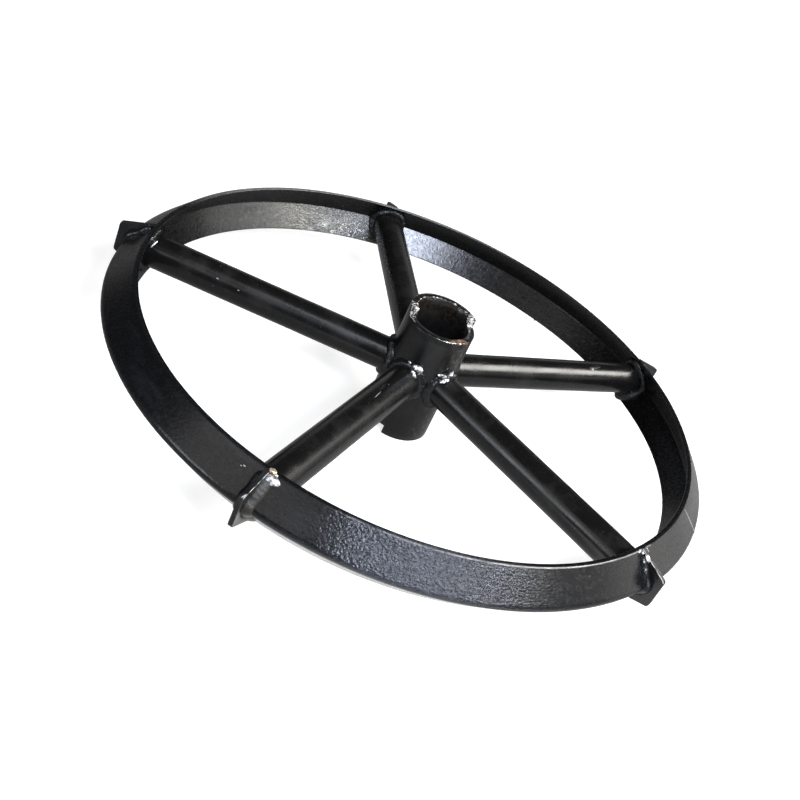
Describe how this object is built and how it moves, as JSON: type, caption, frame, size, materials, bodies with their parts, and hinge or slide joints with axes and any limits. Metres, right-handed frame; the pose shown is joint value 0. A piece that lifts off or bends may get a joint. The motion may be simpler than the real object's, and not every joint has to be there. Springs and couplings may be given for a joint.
{
  "type": "press roller ring",
  "caption": "Welded steel ring of a soil press: wedge-section rim, tube spokes, lug plates across the crest and a hub tube with claw ends.",
  "frame": {"origin": "centre of the hub bore in the middle plane of the rim", "axes": "+Z along the hub's axis, towards the end whose raised half is at the back; +X lies 40 degrees short of the first spoke"},
  "size_m": [0.7105, 0.7011, 0.1506],
  "materials": {
    "rim_paint": "semi-gloss black paint with a fine pebbled skin",
    "hub_paint": "semi-gloss black paint, worn to bare steel on the claw edges",
    "spoke_paint": "gloss black paint on drawn tube",
    "lug_paint": "semi-gloss black paint on cut plate",
    "weld_paint": "black paint over rippled weld, bright where it flaked"
  },
  "bodies": {
    "root": {"rim": "rim_paint", "rim_joint_weld": "weld_paint", "hub_tube": "hub_paint", "spoke_1": "spoke_paint", "lug_1": "lug_paint", "hub_weld_1": "weld_paint", "rim_weld_1": "weld_paint", "lug_weld_1a": "weld_paint", "lug_weld_1b": "weld_paint", "spoke_2": "spoke_paint", "lug_2": "lug_paint", "hub_weld_2": "weld_paint", "rim_weld_2": "weld_paint", "lug_weld_2a": "weld_paint", "lug_weld_2b": "weld_paint", "spoke_3": "spoke_paint", "lug_3": "lug_paint", "hub_weld_3": "weld_paint", "rim_weld_3": "weld_paint", "lug_weld_3a": "weld_paint", "lug_weld_3b": "weld_paint", "spoke_4": "spoke_paint", "lug_4": "lug_paint", "hub_weld_4": "weld_paint", "rim_weld_4": "weld_paint", "lug_weld_4a": "weld_paint", "lug_weld_4b": "weld_paint", "spoke_5": "spoke_paint", "lug_5": "lug_paint", "hub_weld_5": "weld_paint", "rim_weld_5": "weld_paint", "lug_weld_5a": "weld_paint", "lug_weld_5b": "weld_paint"}
  },
  "joints": []
}
